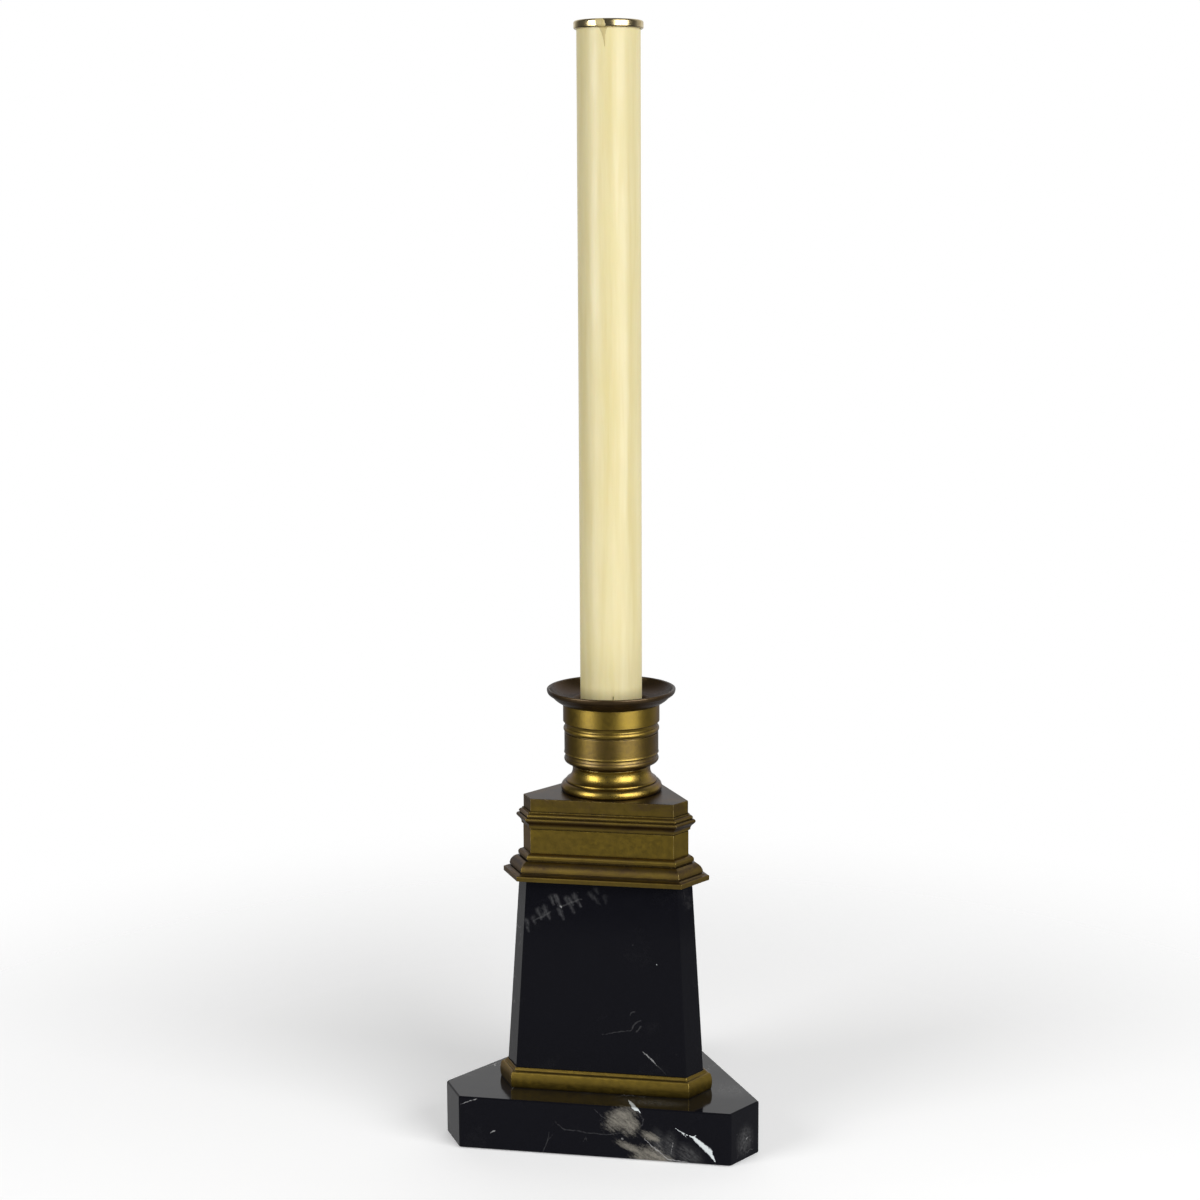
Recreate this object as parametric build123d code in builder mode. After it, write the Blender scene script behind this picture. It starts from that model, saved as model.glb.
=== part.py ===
"""A brass and black marble candlestick with a spring-fed tube candle.

The stand has a three-sided plan: an equilateral triangle with its corners cut off square.
From the floor up it is a felt pad, a marble slab, a brass collar, a tapered marble pedestal,
a hollow brass capital in four mitred pieces and a turned brass foot and cup, all clamped by
one tie rod. The candle is an ivory tube that holds a wax refill, a follower and a spring.

Frame: millimetres, +Z up along the tie rod, origin in the underside on that axis.
The stand's main face looks along -Y.
"""

import math
import os

from build123d import *

# Plan of the stand: lengths of the long sides and of the short sides at each level
SLAB_LONG, SLAB_SHORT = 141.4, 24.0
COLLAR_LONG, COLLAR_SHORT = 93.6, 19.4
PEDESTAL_FOOT_LONG, PEDESTAL_FOOT_SHORT = 89.8, 14.5
PEDESTAL_HEAD_LONG, PEDESTAL_HEAD_SHORT = 78.0, 12.6
FRIEZE_LONG, FRIEZE_SHORT = 74.6, 12.2

# Heights of the joints between pieces
FELT_TOP = 0.8
SLAB_TOP = 28.2
COLLAR_TOP = 38.4
PEDESTAL_BOTTOM = 36.6
CORNICE_BOTTOM = 139.5
PEDESTAL_TOP = 143.5
CORNICE_TOP = 152.2
FRIEZE_TOP = 165.2
BEAD_TOP = 174.2
CAPITAL_TOP = 181.0
FOOT_TOP = 194.6
CUP_FLOOR = 200.0
CUP_TOP = 227.2
PAN_TOP = 235.0

# Walls and running gaps
SHEET = 2.4
GAP = 0.15
RUNNING_GAP = 0.3
ARRIS = 0.7
FELT_INSET = 4.0

# Tie rod and its fasteners
ROD_RADIUS = 4.0
ROD_HOLE_RADIUS = 4.3
STONE_HOLE_RADIUS = 6.0
ROD_BOTTOM = 2.8
ROD_TOP = 210.4
NUT_FLATS = 13.0
NUT_CORNER_RADIUS = 7.2
NUT_BORE_RADIUS = 4.05
NUT_HEIGHT = 6.0
WASHER_RADIUS = 12.0
WASHER_THICKNESS = 1.4
CUP_WASHER_THICKNESS = 1.2
RECESS_RADIUS = 15.0
RECESS_TOP = 12.0

# Cup, holder and drip pan
CUP_RADIUS = 25.1
CUP_BORE_RADIUS = 22.6
HOLDER_FLANGE = 2.0
HOLDER_TOP = 216.0
PAN_RADIUS = 33.4
PAN_THROAT_RADIUS = 20.6
PAN_SPIGOT_BOTTOM = 221.0

# Candle
TUBE_RADIUS = 16.0
TUBE_WALL = 1.2
TUBE_BOTTOM = 202.1
TUBE_TOP = 570.5
SLIT_WIDTH = 0.5
SLIT_TOP = 233.4
SLIT_TURN = 14.0
PLUG_BOTTOM, PLUG_TOP = 212.5, 217.0
SPRING_RADIUS = 10.8
SPRING_WIRE_RADIUS = 0.7
SPRING_PITCH = 12.2
FOLLOWER_BOTTOM, FOLLOWER_TOP = 400.0, 414.0
FOLLOWER_FLOOR = 2.0
WAX_RADIUS = 12.4
WAX_SHOULDER = 566.6
WAX_TIP = 570.0
WAX_TOP = 570.9
WICK_RADIUS = 0.8
WICK_TOP = 571.6
CAP_RADIUS = 17.5
CAP_BOTTOM = 567.9
CAP_TOP = 572.0
CAP_MOUTH_RADIUS = 9.0
CAP_MOUTH_BOTTOM = 570.7
CAP_CONE_BOTTOM = 566.8
CAP_SPIGOT_BOTTOM = 561.0
CAP_SPIGOT_WALL = 1.0

REACH = 200.0
SIDE_ANGLES = [-90, -30, 30, 90, 150, 210]
CORNERS = 6


def apothems(long_side, short_side):
    """Distances from the axis to a long side and to a short side."""
    whole_side = long_side + 2 * short_side
    to_long = whole_side / (2 * math.sqrt(3))
    to_short = whole_side / math.sqrt(3) - short_side * math.sqrt(3) / 2
    return to_long, to_short


def plan_corners(long_side, short_side):
    """Corner points of the cut triangle, with a long side facing -Y."""
    to_long, _ = apothems(long_side, short_side)
    x, y = -long_side / 2, -to_long
    points = []
    for index in range(CORNERS):
        points.append((x, y))
        length = long_side if index % 2 == 0 else short_side
        turn = math.radians(60 * index)
        x += length * math.cos(turn)
        y += length * math.sin(turn)
    return points


def offset_sides(long_side, short_side, distance):
    """Side lengths after every side moves outward by a distance."""
    growth = 2 * distance * math.tan(math.radians(30))
    return long_side + growth, short_side + growth


def extrude_plan(sides, bottom, top, mode=Mode.ADD):
    """Adds an upright prism on the cut triangle to the open part, or cuts it away."""
    with BuildSketch(Plane.XY.offset(bottom)) as plan:
        Polygon(*plan_corners(*sides), align=None)
    extrude(plan.sketch, amount=top - bottom, mode=mode)


def extrude_round(radius, bottom, top, mode=Mode.ADD):
    """Adds an upright round bar on the axis to the open part, or cuts it away."""
    with BuildSketch(Plane.XY.offset(bottom)) as section:
        Circle(radius)
    extrude(section.sketch, amount=top - bottom, mode=mode)


def extrude_moulding(outline, long_side, short_side):
    """Makes the open part a block with one moulding on all six sides, mitred at the corners.

    The outline runs from its lowest to its highest point in (offset, height), where the
    offset counts outward from the cut triangle's sides.
    """
    to_long, to_short = apothems(long_side, short_side)
    start, end = outline @ 0, outline @ 1
    for index, angle in enumerate(SIDE_ANGLES):
        away = to_long if index % 2 == 0 else to_short
        outward = Vector(1, 0, 0).rotate(Axis.Z, angle)
        side_plane = Plane((0, 0, 0), x_dir=outward, z_dir=outward.cross(Vector(0, 0, 1)))
        with BuildSketch(side_plane) as section:
            with BuildLine():
                add(outline.moved(Location((away, 0, 0))))
                Polyline(
                    (away + end.X, end.Y),
                    (-REACH, end.Y),
                    (-REACH, start.Y),
                    (away + start.X, start.Y),
                )
            make_face()
        mode = Mode.ADD if index == 0 else Mode.INTERSECT
        extrude(section.sketch, amount=REACH, both=True, mode=mode)


def extrude_nut(bottom):
    """Adds a hex nut for the tie rod to the open part, with its corners turned round."""
    with BuildSketch(Plane.XY.offset(bottom)) as section:
        RegularPolygon(NUT_FLATS / 2, 6, major_radius=False)
        Circle(NUT_CORNER_RADIUS, mode=Mode.INTERSECT)
        Circle(NUT_BORE_RADIUS, mode=Mode.SUBTRACT)
    extrude(section.sketch, amount=NUT_HEIGHT)


def extrude_washer(radius, bottom, thickness):
    """Adds a washer for the tie rod to the open part."""
    extrude_round(radius, bottom, bottom + thickness)
    extrude_round(ROD_HOLE_RADIUS, bottom, bottom + thickness, mode=Mode.SUBTRACT)


def export_piece(piece, name, color):
    """Names a finished piece and writes it to a file of its own."""
    piece.part.label = name
    piece.part.color = color
    os.makedirs("parts", exist_ok=True)
    export_step(piece.part, f"parts/{name}.step")


BLACK = Color(0.05, 0.05, 0.06)
BRASS = Color(0.42, 0.34, 0.12)
STEEL = Color(0.6, 0.6, 0.62)
IVORY = Color(0.88, 0.84, 0.62)

# ---- Felt pad: one sheet glued under the slab ----
with BuildPart() as felt_pad:
    extrude_plan(offset_sides(SLAB_LONG, SLAB_SHORT, -FELT_INSET), 0, FELT_TOP)
export_piece(felt_pad, "felt_pad", Color(0.1, 0.16, 0.1))

# ---- Marble slab: polished, drilled for the rod, with a recess below for the nut ----
CHIP_PLACE = (68.1, -6.9, SLAB_TOP + 0.6)
CHIP_RADIUS = 2.1
with BuildPart() as marble_slab:
    extrude_plan((SLAB_LONG, SLAB_SHORT), FELT_TOP, SLAB_TOP)
    upright_edges = marble_slab.edges().filter_by(Axis.Z)
    top_edges = marble_slab.faces().sort_by(Axis.Z)[-1].edges()
    chamfer(upright_edges + top_edges, ARRIS)
    extrude_round(STONE_HOLE_RADIUS, FELT_TOP, SLAB_TOP, mode=Mode.SUBTRACT)
    extrude_round(RECESS_RADIUS, FELT_TOP, RECESS_TOP, mode=Mode.SUBTRACT)
    with Locations(CHIP_PLACE):
        Sphere(CHIP_RADIUS, mode=Mode.SUBTRACT)
export_piece(marble_slab, "marble_slab", BLACK)

# ---- Collar: a swelling band, a rounded edge, a cavetto and a bead round the pedestal's foot ----
COLLAR_BAND_TOP = 35.7
with BuildLine() as collar_outline:
    face = ThreePointArc((-0.5, SLAB_TOP), (0, SLAB_TOP + 3.6), (-0.5, COLLAR_BAND_TOP))
    round_edge = RadiusArc(face @ 1, (-1.8, COLLAR_BAND_TOP + 1.2), -1.5)
    step = Line(round_edge @ 1, (-2.3, COLLAR_BAND_TOP + 1.0))
    cavetto = RadiusArc(step @ 1, (-3.0, COLLAR_TOP - 0.5), 1.5)
    bead = RadiusArc(cavetto @ 1, (-3.6, COLLAR_TOP), -0.7)
with BuildPart() as base_collar:
    extrude_moulding(collar_outline.line, COLLAR_LONG, COLLAR_SHORT)
    pocket_sides = offset_sides(PEDESTAL_FOOT_LONG, PEDESTAL_FOOT_SHORT, GAP)
    extrude_plan(pocket_sides, PEDESTAL_BOTTOM, COLLAR_TOP + 1, mode=Mode.SUBTRACT)
    extrude_round(ROD_HOLE_RADIUS, SLAB_TOP, COLLAR_TOP, mode=Mode.SUBTRACT)
export_piece(base_collar, "base_collar", BRASS)

# ---- Pedestal: a tapered marble block, drilled through ----
with BuildPart() as marble_pedestal:
    with BuildSketch(Plane.XY.offset(PEDESTAL_BOTTOM)):
        Polygon(*plan_corners(PEDESTAL_FOOT_LONG, PEDESTAL_FOOT_SHORT), align=None)
    with BuildSketch(Plane.XY.offset(PEDESTAL_TOP)):
        Polygon(*plan_corners(PEDESTAL_HEAD_LONG, PEDESTAL_HEAD_SHORT), align=None)
    loft()
    stone_faces = marble_pedestal.faces()
    end_edges = stone_faces.sort_by(Axis.Z)[0].edges() + stone_faces.sort_by(Axis.Z)[-1].edges()
    arrises = [edge for edge in marble_pedestal.edges() if edge not in end_edges]
    chamfer(arrises, ARRIS / 2)
    extrude_round(STONE_HOLE_RADIUS, PEDESTAL_BOTTOM, PEDESTAL_TOP, mode=Mode.SUBTRACT)
export_piece(marble_pedestal, "marble_pedestal", BLACK)

# ---- Cornice: lip, cavetto, ovolo and fillet, with a web that bears on the marble ----
LIP = 9.3
CORNICE_WEB_TOP = 146.0
with BuildLine() as cornice_outline:
    lip = Line((LIP, CORNICE_BOTTOM), (LIP + 0.1, CORNICE_BOTTOM + 1.9))
    lip_round = RadiusArc(lip @ 1, (LIP - 0.6, CORNICE_BOTTOM + 2.6), -0.7)
    lip_cove = RadiusArc(lip_round @ 1, (LIP - 2.3, CORNICE_BOTTOM + 3.3), 2.4)
    low_quirk = Polyline(lip_cove @ 1, (LIP - 3.2, CORNICE_BOTTOM + 3.3), (LIP - 3.2, CORNICE_BOTTOM + 3.9))
    low_step = Line(low_quirk @ 1, (LIP - 2.7, CORNICE_BOTTOM + 4.1))
    ovolo = RadiusArc(low_step @ 1, (3.1, CORNICE_BOTTOM + 8.9), -5.4)
    high_quirk = Polyline(ovolo @ 1, (1.8, CORNICE_BOTTOM + 8.9), (1.8, CORNICE_BOTTOM + 9.6))
    high_step = Line(high_quirk @ 1, (2.5, CORNICE_BOTTOM + 9.8))
    fillet_face = Line(high_step @ 1, (2.5, CORNICE_BOTTOM + 10.9))
    fillet_round = RadiusArc(fillet_face @ 1, (0.8, CORNICE_BOTTOM + 12.5), -1.9)
    fillet_top = Line(fillet_round @ 1, (0.2, CORNICE_TOP))
with BuildPart() as cornice:
    extrude_moulding(cornice_outline.line, FRIEZE_LONG, FRIEZE_SHORT)
    head_sides = offset_sides(PEDESTAL_HEAD_LONG, PEDESTAL_HEAD_SHORT, 0.6)
    extrude_plan(head_sides, CORNICE_BOTTOM, PEDESTAL_TOP, mode=Mode.SUBTRACT)
    hollow_sides = offset_sides(FRIEZE_LONG, FRIEZE_SHORT, -SHEET - GAP)
    inner_sides = offset_sides(FRIEZE_LONG, FRIEZE_SHORT, -2 * SHEET)
    extrude_plan(hollow_sides, CORNICE_TOP - 1, CORNICE_TOP + 2.5)
    extrude_plan(inner_sides, CORNICE_WEB_TOP, CORNICE_TOP + 2.5, mode=Mode.SUBTRACT)
    extrude_round(ROD_HOLE_RADIUS, PEDESTAL_TOP, CORNICE_WEB_TOP, mode=Mode.SUBTRACT)
export_piece(cornice, "cornice_moulding", BRASS)

# ---- Frieze: a plain band ----
with BuildPart() as frieze:
    extrude_plan((FRIEZE_LONG, FRIEZE_SHORT), CORNICE_TOP, FRIEZE_TOP)
    frieze_edges = frieze.faces().sort_by(Axis.Z)[-1].edges()
    chamfer(frieze_edges, 0.4)
    bore_sides = offset_sides(FRIEZE_LONG, FRIEZE_SHORT, -SHEET)
    extrude_plan(bore_sides, CORNICE_TOP, FRIEZE_TOP, mode=Mode.SUBTRACT)
export_piece(frieze, "frieze_band", BRASS)

# ---- Bead moulding: a small fillet, a heavy bead and a fillet under the top block ----
BEAD = 3.2
with BuildLine() as bead_outline:
    frieze_quirk = Polyline((0.1, FRIEZE_TOP), (0.1, FRIEZE_TOP + 0.6), (0.8, FRIEZE_TOP + 0.6))
    low_fillet = Line(frieze_quirk @ 1, (0.9, FRIEZE_TOP + 1.6))
    low_cove = RadiusArc(low_fillet @ 1, (2.2, FRIEZE_TOP + 3.5), 3.4)
    low_slope = Line(low_cove @ 1, (BEAD - 0.2, FRIEZE_TOP + 4.4))
    bead_nose = ThreePointArc(
        low_slope @ 1, (BEAD, FRIEZE_TOP + 5.1), (BEAD - 0.7, FRIEZE_TOP + 6.1)
    )
    bead_quirk = Polyline(bead_nose @ 1, (1.7, FRIEZE_TOP + 6.3), (1.7, FRIEZE_TOP + 6.7))
    high_step = Line(bead_quirk @ 1, (2.1, FRIEZE_TOP + 6.9))
    high_ovolo = RadiusArc(high_step @ 1, (0.9, BEAD_TOP - 0.7), -1.8)
    high_fillet = Polyline(high_ovolo @ 1, (0.5, BEAD_TOP - 0.6), (0.5, BEAD_TOP))
with BuildPart() as bead_moulding:
    extrude_moulding(bead_outline.line, FRIEZE_LONG, FRIEZE_SHORT)
    extrude_plan(hollow_sides, FRIEZE_TOP - 2.5, FRIEZE_TOP + 1)
    extrude_plan(inner_sides, FRIEZE_TOP - 2.5, BEAD_TOP, mode=Mode.SUBTRACT)
export_piece(bead_moulding, "bead_moulding", BRASS)

# ---- Top block: a tray turned upside down, drilled for the rod ----
BLOCK_INSET = 0.2
with BuildPart() as capital_block:
    block_sides = offset_sides(FRIEZE_LONG, FRIEZE_SHORT, -BLOCK_INSET)
    extrude_plan(block_sides, BEAD_TOP, CAPITAL_TOP)
    sharp_edges = capital_block.faces().sort_by(Axis.Z)[-1].edges()
    chamfer(sharp_edges, 0.3)
    extrude_plan(inner_sides, BEAD_TOP, CAPITAL_TOP - 3, mode=Mode.SUBTRACT)
    extrude_round(ROD_HOLE_RADIUS, BEAD_TOP, CAPITAL_TOP, mode=Mode.SUBTRACT)
export_piece(capital_block, "capital_block", BRASS)

# ---- Cup foot: a turned torus, fillet and cove ----
with BuildPart() as cup_foot:
    with BuildSketch(Plane.XZ):
        with BuildLine():
            under = Line((ROD_HOLE_RADIUS, CAPITAL_TOP), (25.8, CAPITAL_TOP))
            torus = ThreePointArc(under @ 1, (26.3, 183.2), (24.3, 185.9))
            torus_top = Line(torus @ 1, (23.7, 186.0))
            fillet_ring = RadiusArc(torus_top @ 1, (23.0, 187.3), -0.9)
            cove = ThreePointArc(fillet_ring @ 1, (20.6, 190.4), (20.3, 193.2))
            neck = ThreePointArc(cove @ 1, (20.55, 193.8), (20.8, FOOT_TOP))
            over = Line(neck @ 1, (ROD_HOLE_RADIUS, FOOT_TOP))
            Line(over @ 1, under @ 0)
        make_face()
    revolve(axis=Axis.Z)
export_piece(cup_foot, "cup_foot", BRASS)

# ---- Candle cup: turned, with a torus below and a sunk band round its middle ----
with BuildPart() as candle_cup:
    with BuildSketch(Plane.XZ):
        with BuildLine():
            under = Line((ROD_HOLE_RADIUS, FOOT_TOP), (20.8, FOOT_TOP))
            underside = RadiusArc(under @ 1, (23.6, 196.2), 5.0)
            torus = ThreePointArc(underside @ 1, (24.65, 197.8), (24.1, 199.3))
            lower_wall = Polyline(
                torus @ 1,
                (23.9, 200.2),
                (23.9, 200.7),
                (24.4, 200.9),
                (24.7, 201.3),
                (24.6, 201.8),
                (24.5, 202.0),
                (24.5, 211.7),
                (24.4, 211.9),
                (24.0, 212.1),
                (24.0, 212.5),
                (24.5, 212.7),
            )
            band = ThreePointArc(lower_wall @ 1, (24.95, 213.9), (24.5, 215.1))
            neck = Polyline(band @ 1, (24.1, 215.3), (24.05, 215.9), (24.2, 216.6))
            upper_cove = RadiusArc(neck @ 1, (CUP_RADIUS, 217.8), 1.4)
            upper_wall = Line(upper_cove @ 1, (CUP_RADIUS, CUP_TOP))
            inside = Polyline(
                upper_wall @ 1,
                (CUP_BORE_RADIUS, CUP_TOP),
                (CUP_BORE_RADIUS, CUP_FLOOR),
                (ROD_HOLE_RADIUS, CUP_FLOOR),
                under @ 0,
            )
        make_face()
    revolve(axis=Axis.Z)
export_piece(candle_cup, "candle_cup", BRASS)

# ---- Candle holder: a flanged ring on the cup's floor that keeps the candle upright ----
HOLDER_BORE = TUBE_RADIUS + RUNNING_GAP
with BuildPart() as candle_holder:
    with BuildSketch(Plane.XZ):
        with BuildLine():
            Polyline(
                (ROD_HOLE_RADIUS, CUP_FLOOR),
                (CUP_BORE_RADIUS - GAP, CUP_FLOOR),
                (CUP_BORE_RADIUS - GAP, CUP_FLOOR + HOLDER_FLANGE),
                (HOLDER_BORE + 1.5, CUP_FLOOR + HOLDER_FLANGE),
                (HOLDER_BORE + 1.5, HOLDER_TOP),
                (HOLDER_BORE + 0.6, HOLDER_TOP),
                (HOLDER_BORE, HOLDER_TOP - 0.6),
                (HOLDER_BORE, CUP_FLOOR + HOLDER_FLANGE),
                (ROD_HOLE_RADIUS, CUP_FLOOR + HOLDER_FLANGE),
                close=True,
            )
        make_face()
    revolve(axis=Axis.Z)
export_piece(candle_holder, "candle_holder", BRASS)

# ---- Drip pan: a spun flare with a thick lip and a spigot that drops into the cup ----
with BuildPart() as drip_pan:
    with BuildSketch(Plane.XZ):
        with BuildLine():
            spigot_out = CUP_BORE_RADIUS - RUNNING_GAP
            spigot = Polyline(
                (PAN_THROAT_RADIUS, PAN_SPIGOT_BOTTOM),
                (spigot_out, PAN_SPIGOT_BOTTOM),
                (spigot_out, CUP_TOP + 0.05),
                (25.7, CUP_TOP + 0.05),
            )
            flare = ThreePointArc(spigot @ 1, (28.8, 229.0), (31.3, 231.6))
            lip_under = Line(flare @ 1, (32.3, 231.9))
            lip_side = RadiusArc(lip_under @ 1, (PAN_RADIUS, 234.0), -2.6)
            lip_nose = RadiusArc(lip_side @ 1, (32.7, PAN_TOP), -0.7)
            lip_in = Line(lip_nose @ 1, (32.0, 234.7))
            dish = ThreePointArc(lip_in @ 1, (28.6, 230.6), (23.4, 228.2))
            throat = RadiusArc(dish @ 1, (PAN_THROAT_RADIUS, 225.6), -3.4)
            Line(throat @ 1, spigot @ 0)
        make_face()
    revolve(axis=Axis.Z)
export_piece(drip_pan, "drip_pan", BRASS)

# ---- Tie rod and fasteners ----
with BuildPart() as tie_rod:
    extrude_round(ROD_RADIUS, ROD_BOTTOM, ROD_TOP)
    chamfer(tie_rod.edges().filter_by(GeomType.CIRCLE), 0.6)
export_piece(tie_rod, "tie_rod", STEEL)

BASE_WASHER_BOTTOM = RECESS_TOP - WASHER_THICKNESS
LOCK_WASHER_BOTTOM = BASE_WASHER_BOTTOM - WASHER_THICKNESS
with BuildPart() as base_washer:
    extrude_washer(WASHER_RADIUS, BASE_WASHER_BOTTOM, WASHER_THICKNESS)
export_piece(base_washer, "base_washer", STEEL)

with BuildPart() as lock_washer:
    extrude_washer(7.0, LOCK_WASHER_BOTTOM, WASHER_THICKNESS)
    with BuildSketch(Plane.XY.offset(LOCK_WASHER_BOTTOM)):
        with Locations((5.5, 0)):
            Rectangle(4, 0.8)
    extrude(amount=WASHER_THICKNESS, mode=Mode.SUBTRACT)
export_piece(lock_washer, "lock_washer", STEEL)

with BuildPart() as base_nut:
    extrude_nut(LOCK_WASHER_BOTTOM - NUT_HEIGHT)
export_piece(base_nut, "base_nut", STEEL)

CUP_WASHER_BOTTOM = CUP_FLOOR + HOLDER_FLANGE
with BuildPart() as cup_washer:
    extrude_washer(8.5, CUP_WASHER_BOTTOM, CUP_WASHER_THICKNESS)
export_piece(cup_washer, "cup_washer", STEEL)

with BuildPart() as cup_nut:
    extrude_nut(CUP_WASHER_BOTTOM + CUP_WASHER_THICKNESS)
export_piece(cup_nut, "cup_nut", STEEL)

# ---- Candle tube: open at both ends, slit at its foot ----
with BuildPart() as candle_tube:
    with BuildSketch(Plane.XY.offset(TUBE_BOTTOM)):
        Circle(TUBE_RADIUS)
        Circle(TUBE_RADIUS - TUBE_WALL, mode=Mode.SUBTRACT)
    extrude(amount=TUBE_TOP - TUBE_BOTTOM)
    with BuildSketch(Plane.XY.offset(TUBE_BOTTOM)):
        slit_middle = Vector(0, TUBE_WALL / 2 - TUBE_RADIUS).rotate(Axis.Z, SLIT_TURN)
        with Locations(Location((slit_middle.X, slit_middle.Y), SLIT_TURN)):
            Rectangle(SLIT_WIDTH, 2 * TUBE_WALL)
    extrude(amount=SLIT_TOP - TUBE_BOTTOM, mode=Mode.SUBTRACT)
export_piece(candle_tube, "candle_tube", IVORY)

# ---- Base plug: closes the tube and carries the spring ----
with BuildPart() as tube_plug:
    extrude_round(TUBE_RADIUS - TUBE_WALL - 0.05, PLUG_BOTTOM, PLUG_TOP - 1.5)
    extrude_round(SPRING_RADIUS - SPRING_WIRE_RADIUS - 0.4, PLUG_TOP - 1.5, PLUG_TOP)
export_piece(tube_plug, "tube_plug", STEEL)

# ---- Feed spring: an open coil between the plug and the follower ----
SPRING_BOTTOM = PLUG_TOP - 1.5 + SPRING_WIRE_RADIUS + 0.05
SPRING_TOP = FOLLOWER_BOTTOM - SPRING_WIRE_RADIUS - 0.1
with BuildPart() as feed_spring:
    with BuildLine(Plane.XY.offset(SPRING_BOTTOM)):
        coil = Helix(pitch=SPRING_PITCH, height=SPRING_TOP - SPRING_BOTTOM, radius=SPRING_RADIUS)
    with BuildSketch(Plane(origin=coil @ 0, z_dir=coil % 0)):
        Circle(SPRING_WIRE_RADIUS)
    sweep(is_frenet=True)
export_piece(feed_spring, "feed_spring", STEEL)

# ---- Follower: a shallow cup that lifts the wax ----
FOLLOWER_RADIUS = TUBE_RADIUS - TUBE_WALL - 0.4
with BuildPart() as follower:
    extrude_round(FOLLOWER_RADIUS, FOLLOWER_BOTTOM, FOLLOWER_TOP)
    extrude_round(WAX_RADIUS + 0.1, FOLLOWER_BOTTOM + FOLLOWER_FLOOR, FOLLOWER_TOP, mode=Mode.SUBTRACT)
export_piece(follower, "follower", STEEL)

# ---- Wax refill: its cone bears up into the cap and its tip stands in the cap's mouth ----
WICK_HOLE_RADIUS = WICK_RADIUS + 0.05
WAX_BOTTOM = FOLLOWER_BOTTOM + FOLLOWER_FLOOR + 0.05
with BuildPart() as wax_refill:
    with BuildSketch(Plane.XZ):
        with BuildLine():
            wax_side = Polyline(
                (WICK_HOLE_RADIUS, WAX_BOTTOM),
                (WAX_RADIUS, WAX_BOTTOM),
                (WAX_RADIUS, WAX_SHOULDER),
                (CAP_MOUTH_RADIUS - 0.6, WAX_TIP),
            )
            wax_edge = RadiusArc(wax_side @ 1, (7.2, WAX_TOP), -1.5)
            pool_floor = (WICK_HOLE_RADIUS, WAX_TOP - 1.2)
            pool = ThreePointArc(wax_edge @ 1, (4.0, WAX_TOP - 0.9), pool_floor)
            Line(pool @ 1, wax_side @ 0)
        make_face()
    revolve(axis=Axis.Z)
export_piece(wax_refill, "wax_refill", IVORY)

# ---- Wick ----
with BuildPart() as wick:
    extrude_round(WICK_RADIUS, WAX_BOTTOM + 0.05, WICK_TOP)
    fillet(wick.edges().sort_by(Axis.Z)[-1], 0.4)
export_piece(wick, "wick", Color(0.2, 0.18, 0.15))

# ---- Candle cap: a rolled metal ring over the tube, with a spigot inside it ----
SPIGOT_RADIUS = TUBE_RADIUS - TUBE_WALL - RUNNING_GAP
with BuildPart() as candle_cap:
    with BuildSketch(Plane.XZ):
        with BuildLine():
            skirt = Line((TUBE_RADIUS + RUNNING_GAP, CAP_BOTTOM), (CAP_RADIUS - 0.5, CAP_BOTTOM))
            skirt_roll = RadiusArc(skirt @ 1, (CAP_RADIUS, CAP_BOTTOM + 1.0), -1.0)
            skirt_side = Line(skirt_roll @ 1, (CAP_RADIUS, CAP_TOP - 1.2))
            shoulder = RadiusArc(skirt_side @ 1, (CAP_RADIUS - 1.2, CAP_TOP), -1.2)
            face = Line(shoulder @ 1, (CAP_MOUTH_RADIUS + 0.5, CAP_TOP))
            mouth_roll = RadiusArc(face @ 1, (CAP_MOUTH_RADIUS, CAP_TOP - 0.5), -0.5)
            Polyline(
                mouth_roll @ 1,
                (CAP_MOUTH_RADIUS, CAP_MOUTH_BOTTOM),
                (SPIGOT_RADIUS - CAP_SPIGOT_WALL, CAP_CONE_BOTTOM),
                (SPIGOT_RADIUS - CAP_SPIGOT_WALL, CAP_SPIGOT_BOTTOM),
                (SPIGOT_RADIUS, CAP_SPIGOT_BOTTOM),
                (SPIGOT_RADIUS, TUBE_TOP + 0.1),
                (TUBE_RADIUS + RUNNING_GAP, TUBE_TOP + 0.1),
                skirt @ 0,
            )
        make_face()
    revolve(axis=Axis.Z)
export_piece(candle_cap, "candle_cap", STEEL)
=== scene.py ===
"""Looks of the marble and brass candlestick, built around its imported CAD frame.

Blender units are metres. Placed details are given in millimetres in the row frame, which is
what the shaders' coordinates are scaled to: +Z up, the stand's main long face towards -Y.
"""

import math
import random

import bmesh
import bpy
from mathutils import Matrix, Vector


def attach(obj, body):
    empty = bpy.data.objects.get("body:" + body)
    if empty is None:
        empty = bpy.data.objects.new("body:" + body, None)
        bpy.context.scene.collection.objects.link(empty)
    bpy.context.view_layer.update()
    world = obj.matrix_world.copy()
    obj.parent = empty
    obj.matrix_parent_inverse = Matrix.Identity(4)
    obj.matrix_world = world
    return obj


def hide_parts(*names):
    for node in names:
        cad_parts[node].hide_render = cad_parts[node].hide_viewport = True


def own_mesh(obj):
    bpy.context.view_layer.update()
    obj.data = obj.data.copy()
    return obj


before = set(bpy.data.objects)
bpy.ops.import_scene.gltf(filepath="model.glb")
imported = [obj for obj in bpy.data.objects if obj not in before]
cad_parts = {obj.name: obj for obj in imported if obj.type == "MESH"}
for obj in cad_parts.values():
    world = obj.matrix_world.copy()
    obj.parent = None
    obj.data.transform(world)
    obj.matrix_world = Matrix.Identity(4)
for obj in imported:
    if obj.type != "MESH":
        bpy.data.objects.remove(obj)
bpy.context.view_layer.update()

MM = 0.001

# ---- Camera: where it stands and how it is turned ----
CAMERA_AZIMUTH = 10.52
CAMERA_DISTANCE = 1.183
CAMERA_HEIGHT = 0.476
CAMERA_YAW = 0.27
CAMERA_PITCH = 9.36
CAMERA_ROLL = -0.28
CAMERA_LENS = 69.7

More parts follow.
